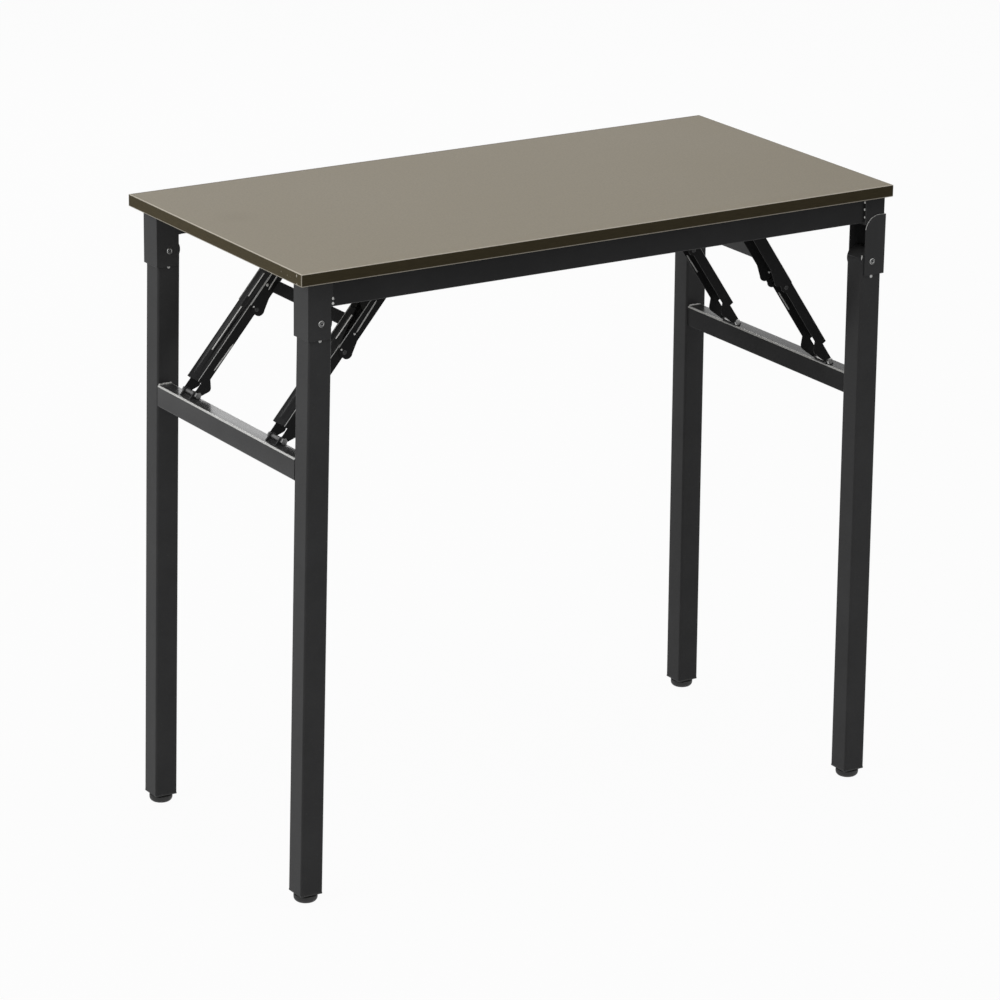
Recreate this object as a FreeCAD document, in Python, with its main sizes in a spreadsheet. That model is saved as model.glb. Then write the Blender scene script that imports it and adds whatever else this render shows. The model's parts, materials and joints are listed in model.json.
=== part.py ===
import FreeCAD, Part
import math
import os
import re

import Sketcher

Vector = FreeCAD.Vector
Rotation = FreeCAD.Rotation
Placement = FreeCAD.Placement

# Driving sizes in millimetres and degrees, each written once
SIZES = {
    "board_length": (800, "tabletop along X"),
    "board_depth": (400, "tabletop along Y"),
    "board_thickness": (14, "tabletop along Z"),
    "desk_height": (748, "floor to the top of the board"),
    "band_thickness": (1, "edge band round the board"),
    "rail_height": (30, "front and rear rail"),
    "rail_wall": (1.2, "wall of the rails"),
    "strip_width": (40, "cross rail along X"),
    "strip_thickness": (3, "cross rail"),
    "sheet_steel": (1.2, "sheet of sleeves and links"),
    "leg_side": (28.8, "square leg tube"),
    "leg_wall": (1.5, "wall of legs and crossbars"),
    "leg_corner": (2.5, "outer corner radius of the leg tube"),
    "left_leg_lean": (0.93, "left legs lean outwards, degrees"),
    "right_leg_lean": (0.52, "right legs lean outwards, degrees"),
    "sleeve_gap": (0.35, "leg to sleeve flange, each side"),
    "left_leg_inset": (25.9, "long edge of the board to the left leg centre"),
    "right_leg_inset": (21.2, "long edge of the board to the right leg centre"),
    "left_sleeve_inset": (13.8, "left end of the board to the left sleeve web"),
    "right_sleeve_inset": (5.2, "right end of the board to the right sleeve web"),
    "left_web_gap": (1.2, "left leg to its sleeve web"),
    "right_web_gap": (2.05, "right leg to its sleeve web"),
    "left_sleeve_reach": (31.4, "left sleeve flange along X"),
    "left_sleeve_step": (2.4, "left flange set back below the rail"),
    "left_sleeve_drop": (66.5, "underside to the left sleeve's lower edge"),
    "right_sleeve_reach": (28.6, "right sleeve flange along X"),
    "right_sleeve_top": (21, "underside to the right sleeve's upper edge"),
    "right_sleeve_drop": (93.4, "underside to the right sleeve's lower edge"),
    "right_sleeve_round": (19, "rounded upper corner of the right sleeve"),
    "left_pivot_drop": (47.8, "underside to the left leg pivot"),
    "right_pivot_drop": (77, "underside to the right leg pivot"),
    "post_depth": (27.8, "corner post along X"),
    "post_height": (32, "corner post"),
    "post_wall": (1.5, "wall of the corner post"),
    "bar_width": (20, "crossbar along X"),
    "bar_height": (26, "crossbar"),
    "left_bar_drop": (173.1, "left leg pivot to its crossbar"),
    "right_bar_drop": (155.5, "right leg pivot to its crossbar"),
    "left_bar_shift": (-4.4, "left crossbar inwards of the leg centre"),
    "right_bar_shift": (2, "right crossbar inwards of the leg centre"),
    "left_rear_gap": (71.1, "left rear leg centre to its stay along Y"),
    "left_front_gap": (77.1, "left front leg centre to its stay along Y"),
    "right_rear_gap": (101.8, "right rear leg centre to its stay along Y"),
    "right_front_gap": (63.8, "right front leg centre to its stay along Y"),
    "left_stay_rise": (4.4, "left lower pivot above its crossbar"),
    "right_stay_rise": (4.4, "right lower pivot above its crossbar"),
    "left_stay_inset": (-6, "left lower pivot inwards of the crossbar face"),
    "right_stay_inset": (-3.2, "right lower pivot inwards of the crossbar face"),
    "left_stay_angle": (40.1, "left stay from upright, degrees"),
    "right_stay_angle": (34, "right stay from upright, degrees"),
    "top_pivot_drop": (16, "underside to the upper pivot of the stays"),
    "left_knee_along": (120.9, "left lower pivot to the knee"),
    "right_knee_along": (121.8, "right lower pivot to the knee"),
    "knee_inset": (0.5, "knee inwards of the line of the stay"),
    "link_width": (26.5, "lower link along Y"),
    "link_gap": (0.4, "side gap between parts of a stay"),
    "web_offset": (9.6, "line of the stay to the outer face of the web"),
    "rib_radius": (6, "curve of the rib along each web"),
    "rib_height": (1.5, "rib proud of the web"),
    "rib_margin": (8, "end of a web to the end of its rib"),
    "left_web_start": (13.9, "left lower pivot to the end of the lower web"),
    "right_web_start": (24.5, "right lower pivot to the end of the lower web"),
    "lower_lip": (3, "lower flange inwards of the line"),
    "upper_lip": (6, "upper side plate inwards of the line"),
    "lower_end_radius": (4.1, "lower link round its pivot"),
    "knee_radius": (6, "lower link round the knee"),
    "knee_cover": (6.5, "upper link round the knee"),
    "ear_radius": (7, "ear of the upper link"),
    "ear_inset": (4, "ear inwards of the line of the stay"),
    "ear_taper": (18, "ear running out along the upper link"),
    "left_ear_shift": (1, "left knee to the ear along the stay"),
    "right_ear_shift": (13.9, "right knee to the ear along the stay"),
    "grip_reach": (12.5, "bump at the foot of the lower link, inwards of the line"),
    "grip_taper": (10, "bump running out along the lower link"),
    "left_hood": (48.5, "left lower web past the knee"),
    "right_hood": (48.5, "right lower web past the knee"),
    "hood_gap": (1.5, "end of the lower web to the start of the upper web"),
    "upper_web_stop": (12, "end of the upper web short of the upper pivot"),
    "upper_end_radius": (8, "upper link round its upper pivot"),
    "left_strap_width": (15, "left tie strap along the stay"),
    "right_strap_width": (24, "right tie strap along the stay"),
    "strap_thickness": (2, "tie strap"),
    "strap_inset": (4, "line of the stay to the tie strap"),
    "left_strap_along": (27, "left knee to the tie strap"),
    "right_strap_along": (45, "right knee to the tie strap"),
    "ear_sheet": (2, "ears of the brackets"),
    "foot_plate": (1.5, "base of the crossbar brackets"),
    "foot_ear_radius": (4.4, "crossbar bracket round the lower pivot"),
    "head_ear_radius": (7, "top bracket round the upper pivot"),
    "head_plate": (2, "base of the top brackets"),
    "head_plate_length": (36, "base of the top brackets along X"),
    "pivot_radius": (3, "shank of the pivot pins"),
    "pivot_fit": (0.05, "radial clearance round the pivot pins"),
    "rivet_radius": (4, "head of the leg pivot rivets"),
    "rivet_height": (1.3, "head of the leg pivot rivets"),
    "pin_head": (5, "head radius of the top pins"),
    "pin_height": (2, "head height of the top pins"),
    "head_gap": (0.3, "pin or bolt head to the link it holds"),
    "knee_pin_radius": (2, "shank of the knee rivets"),
    "knee_head": (2.9, "head radius of the knee rivets"),
    "knee_height": (0.9, "head height of the knee rivets"),
    "plug_radius": (2.1, "flush rivet in the leg"),
    "left_plug_drop": (19.5, "left leg pivot to the flush rivet"),
    "right_plug_drop": (18.5, "right leg pivot to the flush rivet"),
    "plug_shift": (-0.4, "flush rivet inwards of the leg centre"),
    "bolt_head": (4.1, "corner radius of the lower bolt heads"),
    "bolt_height": (3, "head of the lower bolts"),
    "screw_inset": (13.15, "end of the cross rail to the board screws"),
    "screw_radius": (2, "shank of the board screws"),
    "screw_head": (4, "head radius of the board screws"),
    "screw_height": (2.2, "head of the board screws"),
    "screw_depth": (9, "board screw inside the board"),
    "screw_tip": (1, "point of the board screws"),
    "screw_fit": (0.05, "radial clearance round the board screws"),
    "tube_end_height": (12.5, "floor to the end of the leg tube"),
    "insert_depth": (20, "foot insert inside the leg tube"),
    "insert_gap": (0.05, "foot insert to the tube wall"),
    "insert_cap": (2, "cap of the foot insert"),
    "cap_side": (28, "cap of the foot insert"),
    "glide_radius": (13.9, "foot glide"),
    "glide_height": (9, "foot glide"),
    "glide_round": (5.5, "lower edge of the foot glide"),
    "glide_chamfer": (1, "upper edge of the foot glide"),
    "neck_radius": (9, "neck of the foot glide"),
    "neck_gap": (0.4, "neck of the foot glide to the cap"),
    "stem_radius": (4, "stem of the foot glide"),
    "stem_fit": (0.1, "radial clearance round the stem"),
    "stem_height": (16, "stem of the foot glide past the tube end"),
}

# Sizes worked out from the driving sizes; the right end is worked out as the left one turned round
WORKED = {
    "underside": "desk_height - board_thickness",
    "left_leg_offset": "board_depth / 2 - left_leg_inset",
    "right_leg_offset": "board_depth / 2 - right_leg_inset",
    "left_sleeve_end": "board_length / 2 - left_sleeve_inset",
    "right_sleeve_end": "board_length / 2 - right_sleeve_inset",
    "rail_face": "left_leg_offset + leg_side / 2 + sleeve_gap + sheet_steel",
    "rail_left": "left_sleeve_end - left_sleeve_reach",
    "rail_right": "right_sleeve_end - sheet_steel - post_depth",
    "sleeve_inside": "leg_side + 2 * sleeve_gap",
    "sleeve_width": "sleeve_inside + 2 * sheet_steel",
    "rail_width": "sleeve_width",
    "strip_half": "rail_face - rail_width",
    "screw_offset": "strip_half - screw_inset",
    "leg_inside": "leg_side - 2 * leg_wall",
    "link_inside": "link_width - 2 * sheet_steel",
    "plate_inside": "link_width + 2 * link_gap",
    "plate_width": "plate_inside + 2 * sheet_steel",
    "foot_ears": "link_inside - 2 * link_gap",
    "head_ears": "plate_inside - 2 * link_gap",
    "top_pivot": "underside - top_pivot_drop",
    "pivot_hole": "pivot_radius + pivot_fit",
}
for end in ("left", "right"):
    WORKED.update({
        end + "_pivot_x": "leg_side / 2 + %s_web_gap + sheet_steel - %s_sleeve_end" % (end, end),
        end + "_pivot_z": "underside - %s_pivot_drop" % end,
        end + "_leg_length": "(%s_pivot_z - tube_end_height) / cos(%s_leg_lean)" % (end, end),
        end + "_front_stay": "%s_leg_offset - %s_front_gap" % (end, end),
        end + "_rear_stay": "%s_leg_offset - %s_rear_gap" % (end, end),
        end + "_bar_length": "2 * %s_leg_offset - leg_side" % end,
        end + "_bar_top": "bar_height / 2 - %s_bar_drop" % end,
        end + "_foot_x": "%s_bar_shift + bar_width / 2 + %s_stay_inset" % (end, end),
        end + "_foot_z": "%s_bar_top + %s_stay_rise" % (end, end),
        end + "_lower_x": "{0}_pivot_x + {0}_foot_x * cos({0}_leg_lean)"
                          " + {0}_foot_z * sin({0}_leg_lean)".format(end),
        end + "_lower_z": "{0}_pivot_z - {0}_foot_x * sin({0}_leg_lean)"
                          " + {0}_foot_z * cos({0}_leg_lean)".format(end),
        end + "_span": "(top_pivot - %s_lower_z) / cos(%s_stay_angle)" % (end, end),
        end + "_top_x": "%s_lower_x + %s_span * sin(%s_stay_angle)" % (end, end, end),
        end + "_glide_x": "{0}_pivot_x - ({0}_pivot_z - tube_end_height) * tan({0}_leg_lean)".format(end),
    })

doc = FreeCAD.newDocument("FoldingDesk")
sizes = doc.addObject("Spreadsheet::Sheet", "Sizes")
worked = doc.addObject("Spreadsheet::Sheet", "Worked")


def bound(text):
    """Point every size named in an expression at the sheet that holds it."""
    def home(match):
        name = match.group(0)
        if name in SIZES:
            return "Sizes." + name
        return "Worked." + name if name in WORKED else name
    return re.sub(r"[A-Za-z_]\w*", home, str(text))


for row, (name, (number, note)) in enumerate(SIZES.items(), 1):
    sizes.set("A%d" % row, name)
    sizes.set("B%d" % row, str(number))
    sizes.set("C%d" % row, note)
    sizes.setAlias("B%d" % row, name)
doc.recompute()
for row, (name, text) in enumerate(WORKED.items(), 1):
    worked.set("A%d" % row, name)
    worked.setAlias("B%d" % row, name)
    worked.set("B%d" % row, "=" + bound(text))
    doc.recompute()


def size(name):
    """A driving or worked-out size as a number."""
    return float((sizes if name in SIZES else worked).get(name))


# Turns that put a piece at the right end of the desk, or lay a standing one along Y
HALF_TURN = Placement(Vector(), Rotation(Vector(0, 0, 1), 180))
ALONG_Y = Placement(Vector(), Rotation(Vector(1, 0, 0), -90))

# Heads from the axis to the rim, as shares of the head's radius and height
DOME = ((0, 1), (0.5, 1), (0.87, 0.6), (1, 0))
HOLLOW_DOME = ((0, 0.2), (0.36, 0.2), (0.45, 1), (0.65, 1), (0.9, 0.6), (1, 0))

# Straight steps across the rounded edge of a turned piece
ROUND_STEPS = 6


# Building blocks whose sizes are bound to the sheets
def bind(item, **expressions):
    for name, text in expressions.items():
        item.setExpression(name, bound(text))
    return item


def at(item, x, y, z):
    for axis, text in zip("xyz", (x, y, z)):
        item.setExpression(".Placement.Base." + axis, bound(text))
    return item


def block(length, width, height):
    """A block with its lowest corner at the origin."""
    return bind(doc.addObject("Part::Box", "Block"), Length=length, Width=width, Height=height)


def cylinder(radius, height):
    """A cylinder standing on the origin."""
    return bind(doc.addObject("Part::Cylinder", "Cylinder"), Radius=radius, Height=height)


def slab(x, z, length, height, width):
    """A block centred on the local plane y = 0."""
    return at(block(length, width, height), x, "-(%s) / 2" % width, z)


def rod(x, z, radius, width):
    """A cylinder along Y centred on the local plane y = 0."""
    item = cylinder(radius, width)
    item.Placement = ALONG_Y
    return at(item, x, "-(%s) / 2" % width, z)


def post(x, y, z, radius, height):
    """A cylinder along Z from its lower end."""
    return at(cylinder(radius, height), x, y, z)


def fuse(*items):
    if len(items) == 1:
        return items[0]
    item = doc.addObject("Part::MultiFuse", "Joined")
    item.Shapes = list(items)
    item.Refine = True
    return item


def cut(base, *tools):
    item = doc.addObject("Part::Cut", "Cut")
    item.Base = base
    item.Tool = fuse(*tools)
    item.Refine = True
    return item


def outline(body, plane, loops):
    """A sketch on an origin plane of the body; each corner is set by two expressions."""
    sketch = body.newObject("Sketcher::SketchObject", "Outline")
    origin = [item for item in body.Origin.OriginFeatures if item.Role == plane][0]
    sketch.AttachmentSupport = [(origin, "")]
    sketch.MapMode = "FlatFace"
    for number, corners in enumerate(loops):
        first = sketch.GeometryCount
        count = len(corners)
        turns = [math.tau * i / count for i in range(count)]
        ring = [Vector(math.cos(turn), math.sin(turn), 0) * 10 * (number + 1) for turn in turns]
        for i in range(count):
            sketch.addGeometry(Part.LineSegment(ring[i], ring[(i + 1) % count]))
        for i in range(count):
            follower = first + (i + 1) % count
            sketch.addConstraint(Sketcher.Constraint("Coincident", first + i, 2, follower, 1))
        for i, corner in enumerate(corners):
            for kind, axis, text in (("DistanceX", -2, corner[0]), ("DistanceY", -1, corner[1])):
                if text == "0":
                    sketch.addConstraint(Sketcher.Constraint("PointOnObject", first + i, 1, axis))
                    continue
                datum = sketch.addConstraint(Sketcher.Constraint(kind, -1, 1, first + i, 1, 1.0))
                sketch.setExpression("Constraints[%d]" % datum, bound(text))
    return sketch


def rectangle(width, height):
    """Corners of a rectangle centred on the sketch origin."""
    signs = ((-1, -1), (1, -1), (1, 1), (-1, 1))
    return [("%d * (%s) / 2" % (u, width), "%d * (%s) / 2" % (v, height)) for u, v in signs]


def padded(plane, loops, length):
    """A body padded from closed outlines, half to each side of the plane."""
    body = doc.addObject("PartDesign::Body", "Body")
    pad = body.newObject("PartDesign::Pad", "Pad")
    pad.Profile = outline(body, plane, loops)
    pad.SideType = "Symmetric"
    bind(pad, Length=length)
    return body


def turned(corners):
    """A body turned about its local Z axis from a half outline."""
    body = doc.addObject("PartDesign::Body", "Body")
    profile = outline(body, "XZ_Plane", [corners])
    turn = body.newObject("PartDesign::Revolution", "Turn")
    turn.Profile = profile
    turn.ReferenceAxis = (profile, ["V_Axis"])
    turn.Angle = 360
    return body


# Every named piece of the desk
nodes = []


def node(label, item, where=None):
    """Name a finished piece and put it in its place."""
    item.Label = label
    if where is not None:
        item.Placement = where
    nodes.append(item)
    return item


def group(label, master, places):
    """Equal fasteners as one piece made of several solids."""
    copies = []
    for where in places:
        copy = doc.addObject("App::Link", "Copy")
        copy.LinkedObject = master
        copy.LinkTransform = False
        copy.Placement = where
        copies.append(copy)
    item = doc.addObject("Part::Compound", "Group")
    item.Links = copies
    return node(label, item)


def shift(x, y, z):
    return Placement(Vector(x, y, z), Rotation())


def tilt(angle):
    return Placement(Vector(), Rotation(Vector(0, 1, 0), angle))


def head_outline(shape, radius, height, level, sign):
    """Corners of a head from its axis to its rim; it rises from a level, up or down."""
    return [("%g * %s" % (share, radius) if share else "0", "%s + %g * %s" % (level, sign * rise, height))
            for share, rise in shape]


def headed(shape, shank, reach, head, height):
    """A pin with a low head on each end."""
    corners = []
    for sign in (-1, 1):
        level = "%d * (%s) / 2" % (sign, reach)
        half = head_outline(shape, head, height, level, sign) + [(shank, level)]
        corners += half if sign < 0 else half[::-1]
    return turned(corners)


def bolted(shank, reach):
    """A bolt with a hexagon head on each end."""
    pieces = [post("0", "0", "-(%s) / 2 - bolt_height" % reach, shank, "%s + 2 * bolt_height" % reach)]
    for level in ("(%s) / 2" % reach, "-(%s) / 2 - bolt_height" % reach):
        head = doc.addObject("Part::Prism", "Head")
        head.Polygon = 6
        bind(head, Circumradius="bolt_head", Height="bolt_height")
        pieces.append(at(head, "0", "0", level))
    return fuse(*pieces)


# Board, edge bands, rails and cross rails
inner_length = "board_length - 2 * band_thickness"
inner_depth = "board_depth - 2 * band_thickness"
screw_spots = [(sign * size(end + "_top_x"), "%s%s_top_x" % ("" if sign > 0 else "-", end), along)
               for end, sign in (("left", 1), ("right", -1)) for along in (1, -1)]
screw_hole = "screw_radius + screw_fit"
core = slab("-(%s) / 2" % inner_length, "underside", inner_length, "board_thickness", inner_depth)
board_holes = [post(text, "%d * screw_offset" % along, "underside", screw_hole, "screw_depth + screw_fit")
               for number, text, along in screw_spots]
node("board_core", cut(core, *board_holes))
middle = shift(0, 0, size("underside") + size("board_thickness") / 2)
for label, sign in (("front", -1), ("rear", 1)):
    band = padded("YZ_Plane", [rectangle("band_thickness", "board_thickness")], "board_length")
    offset = (size("board_depth") - size("band_thickness")) / 2
    node(label + "_edge_band", band, shift(0, sign * offset, 0) * middle)
    rail_sides = [rectangle("rail_width", "rail_height"),
                  rectangle("rail_width - 2 * rail_wall", "rail_height - 2 * rail_wall")]
    rail = padded("YZ_Plane", rail_sides, "rail_left + rail_right")
    centre = (size("rail_right") - size("rail_left")) / 2
    offset = size("rail_face") - size("rail_width") / 2
    node(label + "_rail", rail, shift(centre, sign * offset, size("underside") - size("rail_height") / 2))
for label, sign in (("left", -1), ("right", 1)):
    band = padded("XZ_Plane", [rectangle("band_thickness", "board_thickness")], inner_depth)
    offset = (size("board_length") - size("band_thickness")) / 2
    node(label + "_edge_band", band, shift(sign * offset, 0, 0) * middle)
    strip = slab("-strip_width / 2", "underside - strip_thickness", "strip_width", "strip_thickness",
                 "2 * strip_half")
    strip_holes = [post("0", "%d * screw_offset" % along, "underside - strip_thickness", screw_hole,
                        "strip_thickness") for along in (1, -1)]
    node(label + "_cross_rail", cut(strip, *strip_holes), shift(-sign * size(label + "_top_x"), 0, 0))
screw = turned(head_outline(DOME, "screw_head", "screw_height", "0", -1)[:-1]
               + [("screw_head", "0"), ("screw_radius", "0"),
                  ("screw_radius", "strip_thickness + screw_depth - screw_tip"),
                  ("0", "strip_thickness + screw_depth")])
screw_level = size("underside") - size("strip_thickness")
group("board_screws", screw, [shift(number, along * size("screw_offset"), screw_level)
                              for number, text, along in screw_spots])


# Left sleeves, right posts and right sleeves
def sleeve(end, label, top, reach, where, extra):
    """A U-channel open towards the middle of the desk, with the pivot hole through its flanges."""
    wall = "-%s_sleeve_end" % end
    low = "underside - %s_sleeve_drop" % end
    tall = "%s_sleeve_drop - (%s)" % (end, top)
    walls = slab(wall, low, reach, tall, "sleeve_width")
    hollow = slab(wall + " + sheet_steel", low, reach, tall, "sleeve_inside")
    hole = rod(end + "_pivot_x", end + "_pivot_z", "pivot_radius", "2 * sleeve_width")
    node(label, cut(walls, hollow, hole, *extra), where)


for label, sign in (("front", -1), ("rear", 1)):
    step = slab("left_sleeve_reach - left_sleeve_step - left_sleeve_end", "underside - left_sleeve_drop",
                "2 * left_sleeve_step", "left_sleeve_drop - rail_height", "2 * sleeve_width")
    sleeve("left", "left_%s_sleeve" % label, "0", "left_sleeve_reach",
           shift(0, sign * size("left_leg_offset"), 0), [step])
    where = HALF_TURN * shift(0, -sign * size("right_leg_offset"), 0)
    tube = padded("XY_Plane", [rectangle("post_depth", "sleeve_inside"),
                               rectangle("post_depth - 2 * post_wall", "sleeve_inside - 2 * post_wall")],
                  "post_height")
    node("right_%s_post" % label, tube, where * shift(-size("rail_right") - size("post_depth") / 2, 0,
                                                      size("underside") - size("post_height") / 2))
    edge = "right_sleeve_reach - right_sleeve_end - right_sleeve_round"
    level = "underside - right_sleeve_top - right_sleeve_round"
    corner = cut(slab(edge, level, "2 * right_sleeve_round", "2 * right_sleeve_round", "2 * sleeve_width"),
                 rod(edge, level, "right_sleeve_round", "3 * sleeve_width"))
    sleeve("right", "right_%s_sleeve" % label, "right_sleeve_top", "right_sleeve_reach", where, [corner])


# Leg frames: legs, crossbars, foot inserts and glides
def leg(end):
    """A square tube with its upper end rounded about the pivot."""
    long = end + "_leg_length"
    tube = slab("-leg_side / 2", "-" + long, "leg_side", long, "leg_side")
    doc.recompute()
    upright = [number for number, edge in enumerate(tube.Shape.Edges, 1) if abs(edge.tangentAt(0).z) > 0.9]
    softened = doc.addObject("Part::Fillet", "Softened")
    softened.Base = tube
    softened.Edges = [(number, size("leg_corner"), size("leg_corner")) for number in upright]
    outside = fuse(softened, rod("0", "0", "leg_side / 2", "leg_side"))
    bore = slab("-leg_inside / 2", "-" + long, "leg_inside", long, "leg_inside")
    dome = rod("0", "0", "leg_inside / 2", "leg_inside")
    hole = rod("0", "0", "pivot_hole", "2 * leg_side")
    plug_hole = rod("plug_shift", "-%s_plug_drop" % end, "plug_radius", "2 * leg_side")
    return cut(outside, bore, dome, hole, plug_hole)


def insert(end):
    """A plug for the tube end, with an upright bore for the stem of the glide."""
    inside = "leg_inside - 2 * insert_gap"
    plug = slab("-(%s) / 2" % inside, "0", inside, "insert_depth", inside)
    cap = slab("-cap_side / 2", "-insert_cap", "cap_side", "insert_cap", "cap_side")
    bore = cylinder("stem_radius + stem_fit", "4 * insert_depth")
    bore.Placement = tilt(-size(end + "_leg_lean")) * shift(0, 0, -2 * size("insert_depth"))
    return cut(fuse(plug, cap), bore)


def glide():
    """A round foot with a neck and a stem, standing flat on the floor."""
    neck_top = "tube_end_height - insert_cap - neck_gap"
    stem_top = "tube_end_height + stem_height"
    angles = [90 * i / ROUND_STEPS for i in range(1, ROUND_STEPS + 1)]
    edge = [("glide_radius - glide_round * (1 - sin(%g))" % angle, "glide_round * (1 - cos(%g))" % angle)
            for angle in angles]
    return turned([("0", "0"), ("glide_radius - glide_round", "0")] + edge
                  + [("glide_radius", "glide_height - glide_chamfer"),
                     ("glide_radius - glide_chamfer", "glide_height"),
                     ("neck_radius", "glide_height"), ("neck_radius", neck_top),
                     ("stem_radius", neck_top), ("stem_radius", stem_top), ("0", stem_top)])


def foot_bracket(end):
    """Two ears on the crossbar that carry a lower link; local origin at the leg pivot."""
    foot = (end + "_foot_x", end + "_foot_z")
    tall = 2 * (size(end + "_stay_rise") + size("foot_ear_radius"))
    arm = block("2 * foot_ear_radius", "foot_ears", "2 * (%s_stay_rise + foot_ear_radius)" % end)
    lean = tilt(size(end + "_stay_angle") - size(end + "_leg_lean"))
    arm.Placement = (shift(size(foot[0]), 0, size(foot[1])) * lean
                     * shift(-size("foot_ear_radius"), -size("foot_ears") / 2, -tall))
    ears = fuse(arm, rod(foot[0], foot[1], "foot_ear_radius", "foot_ears"))
    far = "4 * leg_side"
    under = slab("-2 * leg_side", "%s_bar_top - %s" % (end, far), far, far, "2 * link_width")
    slot = slab("-2 * leg_side", end + "_bar_top", far, far, "foot_ears - 2 * ear_sheet")
    base = slab(foot[0] + " - foot_ear_radius", end + "_bar_top", "foot_ear_radius - %s_stay_inset" % end,
                "foot_plate", "foot_ears")
    return cut(fuse(cut(ears, under, slot), base), rod(foot[0], foot[1], "pivot_radius", "2 * link_width"))


def head_bracket():
    """Two ears under a cross rail that carry an upper link; local origin at the upper pivot."""
    tall = "top_pivot_drop - strip_thickness"
    ears = fuse(rod("0", "0", "head_ear_radius", "head_ears"),
                slab("-head_ear_radius", "0", "2 * head_ear_radius", tall, "head_ears"))
    slot = slab("-2 * head_ear_radius", "-2 * head_ear_radius", "4 * head_ear_radius", "4 * top_pivot_drop",
                "head_ears - 2 * ear_sheet")
    base = slab("-head_plate_length / 2", tall + " - head_plate", "head_plate_length", "head_plate",
                "head_ears")
    hole = rod("0", "0", "pivot_radius", "2 * link_width")
    return cut(fuse(cut(ears, slot), base), hole)


# Folding stays; local origin at the lower pivot, Z along the stay, X inwards
def channel(sides, start, length, width, inside, holes):
    """Two side plates joined by a web with a rounded rib along it."""
    slot = slab("-board_depth", "-board_depth", "2 * board_depth", "3 * board_depth", inside)
    web = slab("-web_offset", start, "sheet_steel", length, width)
    curve = post("rib_radius - rib_height - web_offset", "0", start + " + rib_margin", "rib_radius",
                 length + " - 2 * rib_margin")
    rib = cut(curve, slab("sheet_steel / 2 - web_offset", start, "2 * rib_radius", length, "3 * rib_radius"))
    return cut(fuse(cut(fuse(*sides), slot), web, rib), *holes)


def lower_link(end):
    knee = end + "_knee_along"
    start = end + "_web_start"
    wide = "link_width"
    run_out = start + " + grip_taper"
    grip = padded("XZ_Plane", [[("0", "0"), ("lower_end_radius", "0"), ("grip_reach", start),
                                ("lower_lip", run_out), ("0", run_out)]], wide)
    sides = [slab("-web_offset", start, "web_offset + lower_lip", "%s + knee_radius - %s" % (knee, start),
                  wide),
             slab("-lower_end_radius", "0", "lower_end_radius + lower_lip", start + " + lower_lip", wide),
             rod("0", "0", "lower_end_radius", wide),
             grip,
             rod("knee_inset", knee, "knee_radius", wide)]
    holes = [rod("0", "0", "pivot_hole", "2 * link_width"),
             rod("knee_inset", knee, "knee_pin_radius", "2 * link_width")]
    return channel(sides, start, "%s + %s_hood - %s" % (knee, end, start), wide, "link_inside", holes)


def upper_link(end):
    knee = end + "_knee_along"
    top = end + "_span"
    ear = "%s + %s_ear_shift" % (knee, end)
    wide = "plate_width"
    run_out = padded("XZ_Plane", [[("0", ear), ("ear_inset + ear_radius", ear),
                                   ("upper_lip", ear + " + ear_taper"), ("0", ear + " + ear_taper")]], wide)
    sides = [slab("-web_offset", knee, "web_offset + upper_lip", "%s - upper_web_stop - %s" % (top, knee),
                  wide),
             slab("-upper_end_radius", top + " - 2 * upper_web_stop", "upper_end_radius + upper_lip",
                  "2 * upper_web_stop", wide),
             rod("0", top, "upper_end_radius", wide),
             rod("knee_inset", knee, "knee_cover", wide),
             rod("ear_inset", ear, "ear_radius", wide),
             run_out]
    holes = [rod("0", top, "pivot_hole", "2 * plate_width"),
             rod("knee_inset", knee, "knee_pin_radius", "2 * plate_width")]
    start = "%s + %s_hood + hood_gap" % (knee, end)
    return channel(sides, start, "%s - upper_web_stop - (%s)" % (top, start), wide, "plate_inside", holes)


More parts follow.
